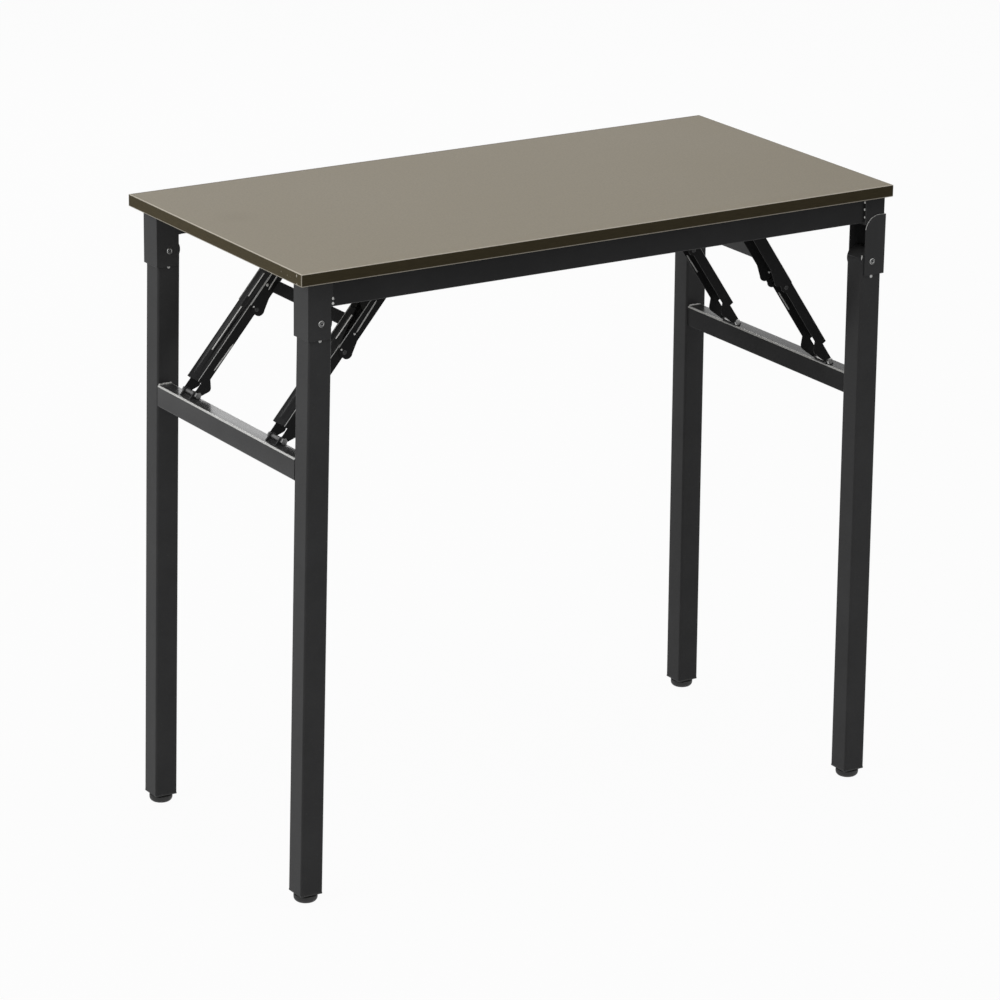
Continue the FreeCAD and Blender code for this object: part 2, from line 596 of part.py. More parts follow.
# Both ends of the desk; the right end is placed by a half turn
for end in ("left", "right"):
    turn = Placement() if end == "left" else HALF_TURN
    face = 1 if end == "left" else -1
    frame = turn * shift(size(end + "_pivot_x"), 0, size(end + "_pivot_z")) * tilt(size(end + "_leg_lean"))
    stay = turn * shift(size(end + "_lower_x"), 0, size(end + "_lower_z")) * tilt(size(end + "_stay_angle"))
    bar = padded("XZ_Plane", [rectangle("bar_width", "bar_height"),
                              rectangle("bar_width - 2 * leg_wall", "bar_height - 2 * leg_wall")],
                 end + "_bar_length")
    node(end + "_crossbar", bar, frame * shift(size(end + "_bar_shift"), 0, -size(end + "_bar_drop")))
    offsets = {"front": -face * size(end + "_leg_offset"), "rear": face * size(end + "_leg_offset")}
    stays = {"front": -face * size(end + "_front_stay"), "rear": face * size(end + "_rear_stay")}
    for label, y in offsets.items():
        node("%s_%s_leg" % (end, label), leg(end), frame * shift(0, y, 0))
        foot = frame * shift(0, y, -size(end + "_leg_length"))
        node("%s_%s_foot_insert" % (end, label), insert(end), foot)
        node("%s_%s_glide" % (end, label), glide(), turn * shift(size(end + "_glide_x"), y, 0))
    for label, y in stays.items():
        side = shift(0, y, 0)
        node("%s_%s_bar_bracket" % (end, label), foot_bracket(end), frame * side)
        node("%s_%s_top_bracket" % (end, label), head_bracket(),
             turn * shift(size(end + "_top_x"), y, size("top_pivot")))
        node("%s_%s_lower_link" % (end, label), lower_link(end), stay * side)
        node("%s_%s_upper_link" % (end, label), upper_link(end), stay * side)
    strap = block("strap_thickness", "%s_front_stay + %s_rear_stay - plate_width" % (end, end),
                  end + "_strap_width")
    node(end + "_tie_strap", strap,
         stay * shift(size("strap_inset"), min(stays.values()) + size("plate_width") / 2,
                      size(end + "_knee_along") + size(end + "_strap_along")))
    rivet = headed(HOLLOW_DOME, "pivot_radius", "sleeve_width", "rivet_radius", "rivet_height")
    hub = turn * shift(size(end + "_pivot_x"), 0, size(end + "_pivot_z"))
    group(end + "_leg_pivot_rivets", rivet, [hub * shift(0, y, 0) * ALONG_Y for y in offsets.values()])
    plug = post("0", "0", "0", "plug_radius", "leg_wall")
    walls = [(y + sign * (size("leg_side") / 2 - size("leg_wall")), Rotation(Vector(1, 0, 0), -90 * sign))
             for y in offsets.values() for sign in (-1, 1)]
    group(end + "_leg_rivets", plug, [frame * shift(size("plug_shift"), y, -size(end + "_plug_drop"))
                                      * Placement(Vector(), spin) for y, spin in walls])
    lower_bolt = bolted("pivot_radius", "link_width + 2 * head_gap")
    group(end + "_lower_bolts", lower_bolt,
          [frame * shift(size(end + "_foot_x"), y, size(end + "_foot_z")) * ALONG_Y for y in stays.values()])
    upper_pin = headed(DOME, "pivot_radius", "plate_width + 2 * head_gap", "pin_head", "pin_height")
    group(end + "_top_pins", upper_pin, [turn * shift(size(end + "_top_x"), y, size("top_pivot")) * ALONG_Y
                                         for y in stays.values()])
    knee_rivet = turned([("0", "0"), ("knee_pin_radius", "0"), ("knee_pin_radius", "sheet_steel")]
                        + head_outline(DOME, "knee_head", "knee_height", "sheet_steel", 1)[::-1])
    knees = [(y + sign * size("plate_inside") / 2, Rotation(Vector(1, 0, 0), -90 * sign))
             for y in stays.values() for sign in (-1, 1)]
    group(end + "_knee_rivets", knee_rivet, [stay * shift(size("knee_inset"), y, size(end + "_knee_along"))
                                             * Placement(Vector(), spin) for y, spin in knees])

# Check every object, then write one file for each piece
doc.recompute()
for item in doc.Objects:
    if "Invalid" in item.State or "Error" in item.State:
        raise RuntimeError("%s (%s) did not compute: %s" % (item.Name, item.Label, item.State))
for item in nodes:
    if item.Shape.isNull() or not item.Shape.isValid() or not item.Shape.Solids:
        raise RuntimeError("%s has no valid solid" % item.Label)
os.makedirs("parts", exist_ok=True)
for item in nodes:
    item.Shape.exportStep("parts/%s.step" % item.Label)
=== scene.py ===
import json
import math
import random

import bmesh
import bpy
from bpy.props import FloatProperty, FloatVectorProperty, IntProperty, PointerProperty
from mathutils import Matrix, Vector


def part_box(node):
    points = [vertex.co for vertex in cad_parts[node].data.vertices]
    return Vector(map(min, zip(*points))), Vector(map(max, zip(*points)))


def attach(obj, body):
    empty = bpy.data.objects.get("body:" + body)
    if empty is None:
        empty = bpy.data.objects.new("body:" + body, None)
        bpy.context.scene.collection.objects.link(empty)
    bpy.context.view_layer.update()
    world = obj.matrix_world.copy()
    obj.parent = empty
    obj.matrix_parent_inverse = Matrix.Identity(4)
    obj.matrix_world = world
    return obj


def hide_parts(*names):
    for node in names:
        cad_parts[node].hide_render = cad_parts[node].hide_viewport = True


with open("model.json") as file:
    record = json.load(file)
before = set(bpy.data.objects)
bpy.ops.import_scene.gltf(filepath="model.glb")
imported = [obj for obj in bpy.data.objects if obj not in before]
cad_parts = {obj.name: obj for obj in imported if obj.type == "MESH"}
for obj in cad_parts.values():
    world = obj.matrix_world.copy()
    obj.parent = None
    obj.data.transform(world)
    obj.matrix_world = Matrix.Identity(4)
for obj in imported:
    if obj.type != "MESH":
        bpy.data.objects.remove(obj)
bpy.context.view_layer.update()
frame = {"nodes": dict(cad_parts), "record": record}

bl_info = {
    "name": "Folding desk",
    "version": (1, 0, 0),
    "blender": (4, 5, 0),
    "location": "View3D > Sidebar > Folding desk",
    "description": "Dresses a folding desk with its board, powder-coated frame, stays, welds and feet",
    "category": "Object",
}

BODY_OF = {node: body for body, nodes in frame["record"]["behaviour"]["bodies"].items() for node in nodes}
JOINTS = {joint["name"]: joint for joint in frame["record"]["behaviour"]["joints"]}

# Axes by number
X, Y, Z = 0, 1, 2

# How pale a face is painted, partly rubbing and partly painted highlight: a rounded edge, a fold in sheet
# steel, and a steel-pale face that is a cut edge or a painted highlight line
ROUNDED, FOLDED, BARE_OR_HIGHLIGHT = 0.4, 0.7, 1.0

# An edge beside a steel-pale face is rounded over this many times wider than a coated one
BARE_ROUND = 3.5

# Smallest flat, in square metres, that counts as a wall of folded sheet
BROAD_FLAT = 4e-4

# Angles between faces: nearly flat ones are joined, sharp ones are rounded over
NEARLY_FLAT, SHARP = math.radians(0.6), math.radians(35)

# In metres: points of a CAD mesh that count as one, depth of a bead's foot in the sheet, sheet of the stays
SAME_POINT, BEAD_SEAT, STAY_SHEET = 2e-6, 0.0001, 0.0012


# Shader maths
class Wire:
    """An output socket that adds Math nodes when it is used in an expression."""

    def __init__(self, shade, socket):
        self.shade = shade
        self.socket = socket

    def maths(self, operation, first, second=0.0, clamp=False):
        settings = {"operation": operation, "use_clamp": clamp}
        return self.shade.add("ShaderNodeMath", settings, {0: first, 1: second})

    def __add__(self, other):
        return self.maths("ADD", self, other)

    def __radd__(self, other):
        return self.maths("ADD", other, self)

    def __sub__(self, other):
        return self.maths("SUBTRACT", self, other)

    def __rsub__(self, other):
        return self.maths("SUBTRACT", other, self)

    def __mul__(self, other):
        return self.maths("MULTIPLY", self, other)

    def __rmul__(self, other):
        return self.maths("MULTIPLY", other, self)

    def __truediv__(self, other):
        return self.maths("DIVIDE", self, other)

    def __pow__(self, other):
        return self.maths("POWER", self, other)

    def clamped(self):
        return self.maths("ADD", self, 0.0, clamp=True)

    def above(self, level, softness):
        """0 below the level and 1 above it, with a soft step between."""
        return ((self - (level - softness)) / (2 * softness)).clamped()


class Shade:
    """The node tree of a material or of the world, built node by node."""

    def __init__(self, owner):
        self.owner = owner
        owner.use_nodes = True
        self.tree = owner.node_tree
        self.tree.nodes.clear()

    def add(self, kind, settings=None, sockets=None, out=0):
        """A node of a kind; its settings are set first, then its sockets take values or wires."""
        node = self.tree.nodes.new(kind)
        for name, value in (settings or {}).items():
            setattr(node, name, value)
        for key, value in (sockets or {}).items():
            if isinstance(value, Wire):
                self.tree.links.new(value.socket, node.inputs[key])
            else:
                node.inputs[key].default_value = value
        return Wire(self, node.outputs[out])

    def place(self):
        """Where a point sits on its own piece, in metres."""
        return self.add("ShaderNodeTexCoord", out="Object")

    def part(self, vector, axis):
        """The X, Y or Z part of a vector."""
        return self.add("ShaderNodeSeparateXYZ", None, {0: vector}, out=axis)

    def facing(self, axis):
        """How far a face is turned to the end of an axis, from -1 to 1."""
        return self.part(self.add("ShaderNodeNewGeometry", out="Normal"), axis)

    def stretched(self, place, scale):
        return self.add("ShaderNodeMapping", None, {"Vector": place, "Scale": scale})

    def noise(self, place, scale, detail, roughness):
        sockets = {"Vector": place, "Scale": scale, "Detail": detail, "Roughness": roughness}
        return self.add("ShaderNodeTexNoise", {"noise_dimensions": "3D"}, sockets)

    def mixed(self, amount, first, second):
        """A colour between two colours."""
        return self.add("ShaderNodeMix", {"data_type": "RGBA"}, {0: amount, 6: first, 7: second}, out=2)

    def bump(self, height, strength, distance):
        sockets = {"Strength": strength, "Distance": distance, "Height": height}
        return self.add("ShaderNodeBump", None, sockets)

    def wear_and_highlight(self):
        """How pale a face is painted, for rubbing and as painted highlight: 0 on the plain faces of a piece
        and up to the steel-pale level on its edges.
        """
        settings = {"attribute_name": "edge", "attribute_type": "GEOMETRY"}
        return self.add("ShaderNodeAttribute", settings, out="Fac")

    def shown(self):
        """1 where the camera or a reflection sees a surface, and 0 where it lights the desk."""
        rays = ("Is Camera Ray", "Is Glossy Ray", "Is Transmission Ray")
        camera, mirror, clear = (self.add("ShaderNodeLightPath", out=ray) for ray in rays)
        return (camera + mirror + clear).clamped()

    def finish(self, sockets):
        """A Principled surface with the given sockets as the material's output."""
        self.add_output(self.add("ShaderNodeBsdfPrincipled", None, sockets))
        return self.owner

    def add_output(self, surface, kind="ShaderNodeOutputMaterial"):
        output = self.tree.nodes.new(kind)
        self.tree.links.new(surface.socket, output.inputs["Surface"])


def surface_shade(name):
    """The node tree of a new material."""
    return Shade(bpy.data.materials.new(name))


def rgba(colour):
    return (colour[0], colour[1], colour[2], 1.0)


# Finishes
def laminate(looks):
    """Matt taupe laminate: fine mottle, faint streaks, pale specks, a smudge, pale lines along the front and
    left edges that are partly the arris's own edge and partly a painted highlight, and a painted shade line
    along the rear edge.
    """
    smudge_x, smudge_y, smudge_radius = -0.342, 0.049, 0.03
    line, soft = looks.arris_width, 0.0003
    shade = surface_shade("taupe_laminate")
    place = shade.place()
    across, deep = (shade.part(place, axis) for axis in "XY")
    mottle = shade.noise(place, 420.0, 5.0, 0.65)
    cloud = shade.noise(place, 5.0, 2.0, 0.5)
    streak = shade.noise(shade.stretched(place, (6.0, 160.0, 160.0)), 1.0, 3.0, 0.55)
    base = Vector(looks.top_colour)
    tone = shade.mixed(mottle.above(0.5, 0.2), rgba(base * 0.86), rgba(base * 1.1))
    tone = shade.mixed(streak.above(0.5, 0.3) * 0.35, tone, rgba(base * 0.93))
    tone = shade.mixed(cloud.above(0.52, 0.3) * 0.3, tone, rgba(base * 1.07))
    cells = {"Vector": place, "Scale": 9.0}
    speck = shade.add("ShaderNodeTexVoronoi", {"feature": "F1"}, cells, out="Distance")
    tone = shade.mixed(1.0 - speck.above(0.007, 0.002), tone, rgba(looks.arris_colour))
    spot = ((across - smudge_x) ** 2.0 + (deep - smudge_y) ** 2.0) ** 0.5
    tone = shade.mixed((1.0 - spot / smudge_radius).clamped() * 0.3, tone, rgba(base * 0.8))
    low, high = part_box("board_core")
    # Pale lines along the front and left edges: partly the arris's paler edge, partly a painted highlight
    near = 1.0 - (deep - low.y).above(line, soft)
    left = 1.0 - (across - low.x).above(line, soft)
    # A dark line along the rear edge is painted shade
    rear_painted_shade = 1.0 - (high.y - deep).above(2.0 * line, 2.0 * soft)
    tone = shade.mixed(rear_painted_shade * 0.7, tone, rgba(base * 0.35))
    tone = shade.mixed((near + left).clamped() * 0.85, tone, rgba(looks.arris_colour))
    rough = 0.5 + 0.1 * mottle + 0.06 * cloud
    bump = shade.bump(mottle * 0.6 + streak * 0.4, 0.12, 0.0002)
    return shade.finish({"Base Color": tone, "Roughness": rough, "Normal": bump,
                         "Specular IOR Level": 0.06})


def edging(looks, name, arris, depth):
    """Dark brown edge band with a pale arris, partly rubbing and partly a painted highlight that is stronger
    on upward faces, a pale line along its lower edge and a few chips.
    """
    chips_end, chips_fade = -0.165, 0.02
    shade = surface_shade(name)
    place = shade.place()
    grain = shade.noise(shade.stretched(place, (60.0, 60.0, 900.0)), 1.0, 4.0, 0.6)
    fleck = shade.noise(place, 1600.0, 2.0, 0.5)
    chip = shade.noise(place, 210.0, 2.0, 0.5)
    base = Vector(looks.band_colour) * depth
    tone = shade.mixed(grain.above(0.5, 0.25), rgba(base * 0.8), rgba(base * 1.2))
    along, height = (shade.part(place, axis) for axis in "YZ")
    corner = 1.0 - (along - chips_end).above(0.0, chips_fade)
    side = (-1.0 * shade.facing("X")).above(0.9, 0.05)
    tone = shade.mixed(side * corner * chip.above(0.68, 0.02), tone, rgba(looks.arris_colour))
    # Upward faces of the arris are painted paler: a painted highlight
    upper = shade.facing("Z").above(0.1, 0.1)
    rub_and_highlight = (shade.wear_and_highlight() / ROUNDED).clamped() * (0.7 + 0.3 * upper) * (0.8 + 0.2 * fleck.above(0.4, 0.2))
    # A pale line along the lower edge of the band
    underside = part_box("board_core")[0].z
    lower_line = 1.0 - (height - underside).above(1.3 * looks.arris_width, 0.0002)
    rub_and_highlight = (rub_and_highlight + lower_line * (0.55 + 0.3 * fleck)).clamped()
    tone = shade.mixed(rub_and_highlight * arris, tone, rgba(looks.arris_colour))
    rough = 0.42 + 0.15 * grain
    bump = shade.bump(grain, 0.1, 0.0002)
    return shade.finish({"Base Color": tone, "Roughness": rough, "Normal": bump,
                         "Specular IOR Level": 0.04})


def powder_coat(looks, name, shine, specular, peel_strength=0.14, depth=1.0):
    """Satin black powder coat: orange peel, uneven sheen, and edges painted paler in three steps, partly
    rubbing and partly painted highlight: rounded edges, folds, and steel-pale cut edges and highlight lines.
    """
    shade = surface_shade(name)
    place = shade.place()
    peel = shade.noise(place, 1400.0, 2.0, 0.5)
    sheen = shade.noise(place, 18.0, 3.0, 0.55)
    dust = shade.noise(place, 380.0, 5.0, 0.7)
    wear_and_highlight = shade.wear_and_highlight()
    base = Vector(looks.coat_colour) * depth
    tone = shade.mixed(sheen.above(0.5, 0.3), rgba(base * 0.85), rgba(base * 1.15))
    tone = shade.mixed(dust.above(0.66, 0.06) * 0.25, tone, rgba(base * 2.2))
    # Rounded edges painted a little paler: partly rubbing, partly a painted highlight along the corners
    rub_and_highlight = wear_and_highlight.above(0.2, 0.1) * (0.35 + 0.65 * dust.above(0.52, 0.12))
    tone = shade.mixed(rub_and_highlight, tone, rgba(looks.rub_and_highlight_colour))
    # Folds and foot edges painted nearly white: painted highlight lines, partly rubbing
    fold = wear_and_highlight.above(0.55, 0.05) * (0.85 + 0.15 * dust.above(0.48, 0.15))
    tone = shade.mixed(fold, tone, rgba(looks.fold_wear_and_highlight_colour))
    # Steel-pale faces: painted highlights on crests, beads and upper edges, and rubbed-through coat
    bare_or_highlight = wear_and_highlight.above(0.85, 0.05)
    tone = shade.mixed(bare_or_highlight, tone, rgba(looks.uncoated_and_highlight_colour))
    rough = shine + 0.08 * sheen - 0.05 * rub_and_highlight
    bump = shade.bump(peel, peel_strength, 0.0003)
    return shade.finish({"Base Color": tone, "Roughness": rough, "Normal": bump,
                         "Specular IOR Level": specular})


def bare_steel(looks, name, colour, roughness, metal=1.0, polish_and_highlight=0.8):
    """Plain steel with fine scratches, a dull film in its hollows and bright rounded edges, partly rubbing
    and partly a painted highlight.
    """
    shade = surface_shade(name)
    place = shade.place()
    scratch = shade.noise(shade.stretched(place, (400.0, 400.0, 3200.0)), 1.0, 3.0, 0.6)
    film = shade.noise(place, 260.0, 4.0, 0.6)
    base = Vector(colour)
    tone = shade.mixed(film.above(0.5, 0.25), rgba(base * 0.65), rgba(base * 1.1))
    tone = shade.mixed(shade.wear_and_highlight().above(0.2, 0.1) * polish_and_highlight, tone, rgba(looks.uncoated_and_highlight_colour))
    rough = roughness + 0.16 * scratch + 0.1 * film
    bump = shade.bump(scratch, 0.15, 0.0001)
    return shade.finish({"Base Color": tone, "Roughness": rough, "Normal": bump, "Metallic": metal})


def foot_plastic(looks):
    """Black moulded plastic with a fine eroded texture and scuffs low down."""
    shade = surface_shade("foot_plastic")
    place = shade.place()
    spark = shade.noise(place, 2200.0, 3.0, 0.6)
    scuff = shade.noise(place, 140.0, 4.0, 0.65)
    height = shade.part(place, "Z")
    low = 1.0 - height.above(0.003, 0.003)
    base = Vector(looks.foot_colour)
    tone = shade.mixed(spark.above(0.5, 0.2), rgba(base * 0.8), rgba(base * 1.25))
    tone = shade.mixed(low * scuff.above(0.5, 0.15) * 0.6, tone, rgba(base * 3.5))
    rough = 0.48 + 0.2 * spark
    return shade.finish({"Base Color": tone, "Roughness": rough, "Normal": shade.bump(spark, 0.2, 0.0002)})


# Meshes
def finished(name, bm, material, body, smooth=40.0):
    """Turn a bmesh into a piece that rides on a body."""
    mesh = bpy.data.meshes.new(name)
    bm.normal_update()
    bm.to_mesh(mesh)
    bm.free()
    mesh.materials.append(material)
    mesh.polygons.foreach_set("use_smooth", [True] * len(mesh.polygons))
    mesh.set_sharp_from_angle(angle=math.radians(smooth))
    piece = bpy.data.objects.new(name, mesh)
    bpy.context.scene.collection.objects.link(piece)
    evener = piece.modifiers.new("even_shading", "WEIGHTED_NORMAL")
    evener.keep_sharp = True
    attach(piece, body)
    return piece


def runs_along(edge, axis):
    """Whether an edge runs along an axis."""
    line = edge.verts[1].co - edge.verts[0].co
    return abs(line[axis]) > 0.99 * line.length


def outer_edges(bm):
    return [edge for edge in bm.edges if edge.is_convex and edge.calc_face_angle(0.0) > SHARP]


def round_over(bm, edges, width, segments, layer, wear_and_highlight_level):
    """Round edges over and note how pale the new faces are painted, for rubbing or as painted highlight,
    which may depend on the face.
    """
    made = bmesh.ops.bevel(bm, geom=edges, offset=width, offset_type="OFFSET", segments=segments,
                           profile=0.5, affect="EDGES", clamp_overlap=True)
    bm.normal_update()
    for face in made["faces"]:
        face[layer] = wear_and_highlight_level(face) if callable(wear_and_highlight_level) else wear_and_highlight_level


def paint_crest_highlight(bm, layer, crest, spans):
    """Paint the stretches of a crest steel-pale as a highlight line, each given by its start and stop."""
    for start, stop in spans:
        line = stop - start
        for point in (start, stop):
            faces = [face for face in bm.faces if crest(face)]
            edges = {edge for face in faces for edge in face.edges}
            corners = {corner for face in faces for corner in face.verts}
            cut = faces + list(edges) + list(corners)
            bmesh.ops.bisect_plane(bm, geom=cut, plane_co=point, plane_no=line)
            bm.normal_update()
        for face in bm.faces:
            share = (face.calc_center_median() - start).dot(line) / line.length_squared
            if crest(face) and 0.0 < share < 1.0:
                face[layer] = BARE_OR_HIGHLIGHT


def softened(node, name, width, segments, material, along=None, fold=None, wear_and_highlight_level=ROUNDED, bare_or_highlight=None,
             crest=None, spans=(), corners=None, corner_round=0.0, smooth=60.0):
    """A copy of a CAD node whose sharp outer edges are rounded over; it stands for the node.

    Where along gives an axis, only the edges that run along it are rounded, as on a drawn tube.
    Where a test for steel-pale faces is given, the faces that pass it are painted steel-pale, partly rubbing
    and partly a painted highlight; the faces that pass the crest test are painted steel-pale as a highlight
    along the given spans. The edges that pass the corners test are rounded to their own radius.
    to their own radius."""
    bm = bmesh.new()
    bm.from_mesh(frame["nodes"][node].data)
    bmesh.ops.remove_doubles(bm, verts=bm.verts, dist=SAME_POINT)
    bmesh.ops.dissolve_limit(bm, angle_limit=NEARLY_FLAT, verts=bm.verts, edges=bm.edges)
    layer = bm.faces.layers.float.new("edge")
    bm.normal_update()
    for face in bm.faces:
        if bare_or_highlight is not None and bare_or_highlight(face):
            face[layer] = BARE_OR_HIGHLIGHT
    if fold is not None:
        folds = [edge for edge in outer_edges(bm)
                 if min(face.calc_area() for face in edge.link_faces) > BROAD_FLAT]
        round_over(bm, folds, fold, segments, layer, FOLDED)
    paint_crest_highlight(bm, layer, crest, spans)
    if corners is not None:
        chosen = [edge for edge in outer_edges(bm) if corners(edge)]
        round_over(bm, chosen, corner_round, segments, layer, wear_and_highlight_level)
    rims = [edge for edge in outer_edges(bm) if any(face[layer] == BARE_OR_HIGHLIGHT for face in edge.link_faces)]
    round_over(bm, rims, BARE_ROUND * width, segments, layer, BARE_OR_HIGHLIGHT)
    sharp = [edge for edge in outer_edges(bm) if all(face[layer] < BARE_OR_HIGHLIGHT for face in edge.link_faces)]
    if along is not None:
        sharp = [edge for edge in sharp if runs_along(edge, along)]
    round_over(bm, sharp, width, segments, layer, wear_and_highlight_level)
    piece = finished(name, bm, material, BODY_OF[node], smooth)
    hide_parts(node)
    return piece


def ridge(name, start, end, across, out, width, rise, material, body):
    """A low rounded bead pressed out of sheet steel, tapering at both ends."""
    bm = bmesh.new()
    layer = bm.faces.layers.float.new("edge")
    start, end, across, out = (Vector(value) for value in (start, end, across, out))
    steps, sides = 24, 6
    rows = []
    for i in range(steps + 1):
        share = (1.0 - abs(2.0 * i / steps - 1.0) ** 10) ** 0.5
        spine = start.lerp(end, i / steps)
        angles = [math.pi * j / sides for j in range(sides + 1)]
        rows.append([bm.verts.new(spine + across * (0.5 * width * share * math.cos(a))
                                  + out * (rise * share * math.sin(a) - BEAD_SEAT)) for a in angles])
    for row, after in zip(rows, rows[1:]):
        for j in range(sides):
            face = bm.faces.new((row[j], row[j + 1], after[j + 1], after[j]))
            # Every face is painted steel-pale: a painted highlight line on a stay's bead, rubbed metal on a
            # scraped leg
            face[layer] = BARE_OR_HIGHLIGHT
    bmesh.ops.remove_doubles(bm, verts=bm.verts, dist=1e-7)
    bmesh.ops.recalc_face_normals(bm, faces=bm.faces)
    piece = finished(name, bm, material, body, 80.0)
    return piece


def stay_frame(end, row):
    """Lower pivot of a stay, the direction up along it and the direction towards the middle of the desk."""
    low = Vector(JOINTS["%s_%s_lower_turn" % (end, row)]["pos_m"])
    high = Vector(JOINTS[end + "_upper_turn"]["pos_m"])
    up = (high - low).normalized()
    inwards = Vector((up.z, 0.0, -up.x)) if end == "left" else Vector((-up.z, 0.0, up.x))
    return low, up, inwards


def button(name, spot, out, radius, rise, material, body):
    """A small domed rivet head on a flat that faces along Y."""
    bm = bmesh.new()
    layer = bm.faces.layers.float.new("edge")
    rings, turns = 5, 20
    spot = Vector(spot)
    rows = []
    for i in range(rings):
        lift = math.radians(90.0 * i / rings)
        rows.append([bm.verts.new(spot + Vector((radius * math.cos(lift) * math.cos(math.tau * j / turns),
                                                 out * rise * math.sin(lift),
                                                 radius * math.cos(lift) * math.sin(math.tau * j / turns))))
                     for j in range(turns)])
    top = bm.verts.new(spot + Vector((0.0, out * rise, 0.0)))
    for row, after in zip(rows, rows[1:]):
        for j in range(turns):
            bm.faces.new((row[j], row[(j + 1) % turns], after[(j + 1) % turns], after[j]))
    for j in range(turns):
        bm.faces.new((rows[-1][j], rows[-1][(j + 1) % turns], top))
    for face in bm.faces:
        face[layer] = ROUNDED
    bmesh.ops.recalc_face_normals(bm, faces=bm.faces)
    piece = finished(name, bm, material, body, 80.0)
    return piece


def nodes_like(*endings):
    found = sorted(node for node in BODY_OF if node.endswith(endings))
    if not found:
        raise RuntimeError("no CAD node ends with " + ", ".join(endings))
    return found


def weld_row(name, start, end, beads, radius, flat, material, body, seed):
    """A row of overlapping weld ripples between two points, pressed flat along one axis."""
    draw = random.Random(seed)
    bm = bmesh.new()
    start, end = Vector(start), Vector(end)
    for i in range(beads):
        along = (i + 0.5) / beads
        spot = start.lerp(end, along) + Vector([draw.uniform(-0.15, 0.15) * radius for axis in range(3)])
        size = radius * draw.uniform(0.8, 1.15)
        squash = Matrix.Diagonal(Vector([0.45 if axis == flat else 1.0 for axis in range(3)])).to_4x4()
        laid = Matrix.Translation(spot) @ squash
        made = bmesh.ops.create_icosphere(bm, subdivisions=3, radius=size, matrix=laid)
        for vertex in made["verts"]:
            ripple = 1.0 + 0.1 * math.sin(9.0 * (vertex.co - spot).length / size + 5.0 * vertex.co.z / size)
            vertex.co = spot + (vertex.co - spot) * ripple
    piece = finished(name, bm, material, body, 80.0)
    return piece


# Settings
def colour_setting(name, description, default):
    return FloatVectorProperty(name=name, description=description, subtype="COLOR", size=3, min=0, max=1,
                               default=default)


def length_setting(name, description, default):
    return FloatProperty(name=name, description=description, unit="LENGTH", default=default)


def power_setting(name, description, default):
    return FloatProperty(name=name, description=description, unit="POWER", default=default)


class FoldingDeskLooks(bpy.types.PropertyGroup):
    top_colour: colour_setting("Tabletop", "Laminate of the tabletop", (0.262, 0.231, 0.174))
    band_colour: colour_setting("Edge band", "Edge band round the tabletop", (0.058, 0.047, 0.026))
    arris_colour: colour_setting("Arris", "Pale arris of the edge band", (0.64, 0.59, 0.5))
    coat_colour: colour_setting("Powder coat", "Steel frame and stays", (0.052, 0.052, 0.053))
    # The next three colours paint the pale edge levels: partly rubbing and partly painted highlight lines
    rub_and_highlight_colour: colour_setting("Rubbed and highlit edges", "Edges of the powder coat", (0.09, 0.09, 0.091))
    fold_wear_and_highlight_colour: colour_setting("Folds, worn and highlit", "Folds of the stays and ends of the legs", (0.62, 0.62, 0.61))
    uncoated_and_highlight_colour: colour_setting("Bare steel and highlights", "Bare edges, beads and rivets", (0.85, 0.85, 0.83))
    foot_colour: colour_setting("Feet", "Moulded plastic of the feet", (0.012, 0.012, 0.012))
    tube_round: length_setting("Tube edge", "Rounding of tube edges", 0.0012)
    bar_round: length_setting("Crossbar edge", "Rounding of crossbar edges", 0.0018)
    sheet_round: length_setting("Sheet edge", "Rounding of sheet edges", 0.0003)
    band_round: length_setting("Band edge", "Rounding of the board's arris", 0.0009)
    arris_width: length_setting("Arris width", "Pale line on the laminate at the edge", 0.0008)
    nose_round: length_setting("Nose", "Rounding of the bump at the foot of a stay", 0.0035)
    fold_round: length_setting("Fold", "Rounding of folds in sheet steel", 0.0016)
    head_round: length_setting("Head edge", "Rounding of pin and bolt heads", 0.00035)
    weld_radius: length_setting("Weld bead", "Radius of a weld ripple", 0.0018)
    edge_steps: IntProperty(name="Edge steps", description="Faces across a rounded edge", default=3,
                            min=1, max=6)


class FoldingDeskStage(bpy.types.PropertyGroup):
    camera_place: FloatVectorProperty(name="Camera", description="Where the camera stands", subtype="XYZ",
                                      unit="LENGTH", size=3, default=(-2.70963, -4.2177, 2.04059))
    camera_right: FloatVectorProperty(name="Camera right", description="Image right in the desk's frame",
                                      subtype="DIRECTION", size=3,
                                      default=(0.84495138, -0.5346667, 0.01373647))
    camera_down: FloatVectorProperty(name="Camera down", description="Image down in the desk's frame",
                                     subtype="DIRECTION", size=3,
                                     default=(-0.15831911, -0.27456404, -0.94844591))
    lens: FloatProperty(name="Lens", description="Focal length on a 36 mm sensor",
                        subtype="DISTANCE_CAMERA", default=159.891)
    ambient: FloatProperty(name="Ambient", description="Strength of the room light", default=0.28, min=0)
    key_power: power_setting("Key light", "Softbox to the left", 9.5)
    back_power: power_setting("Back light", "Softbox behind the desk", 28.0)
    top_power: power_setting("Top light", "Softbox overhead", 34.0)
    rim_power: power_setting("Rim light", "Strip high behind the desk", 14.0)


class DeskOperator(bpy.types.Operator):
    """Part of the folding desk"""
    bl_options = {"REGISTER", "UNDO"}

    def execute(self, context):
        self.make(context.scene.folding_desk_looks)
        return {"FINISHED"}


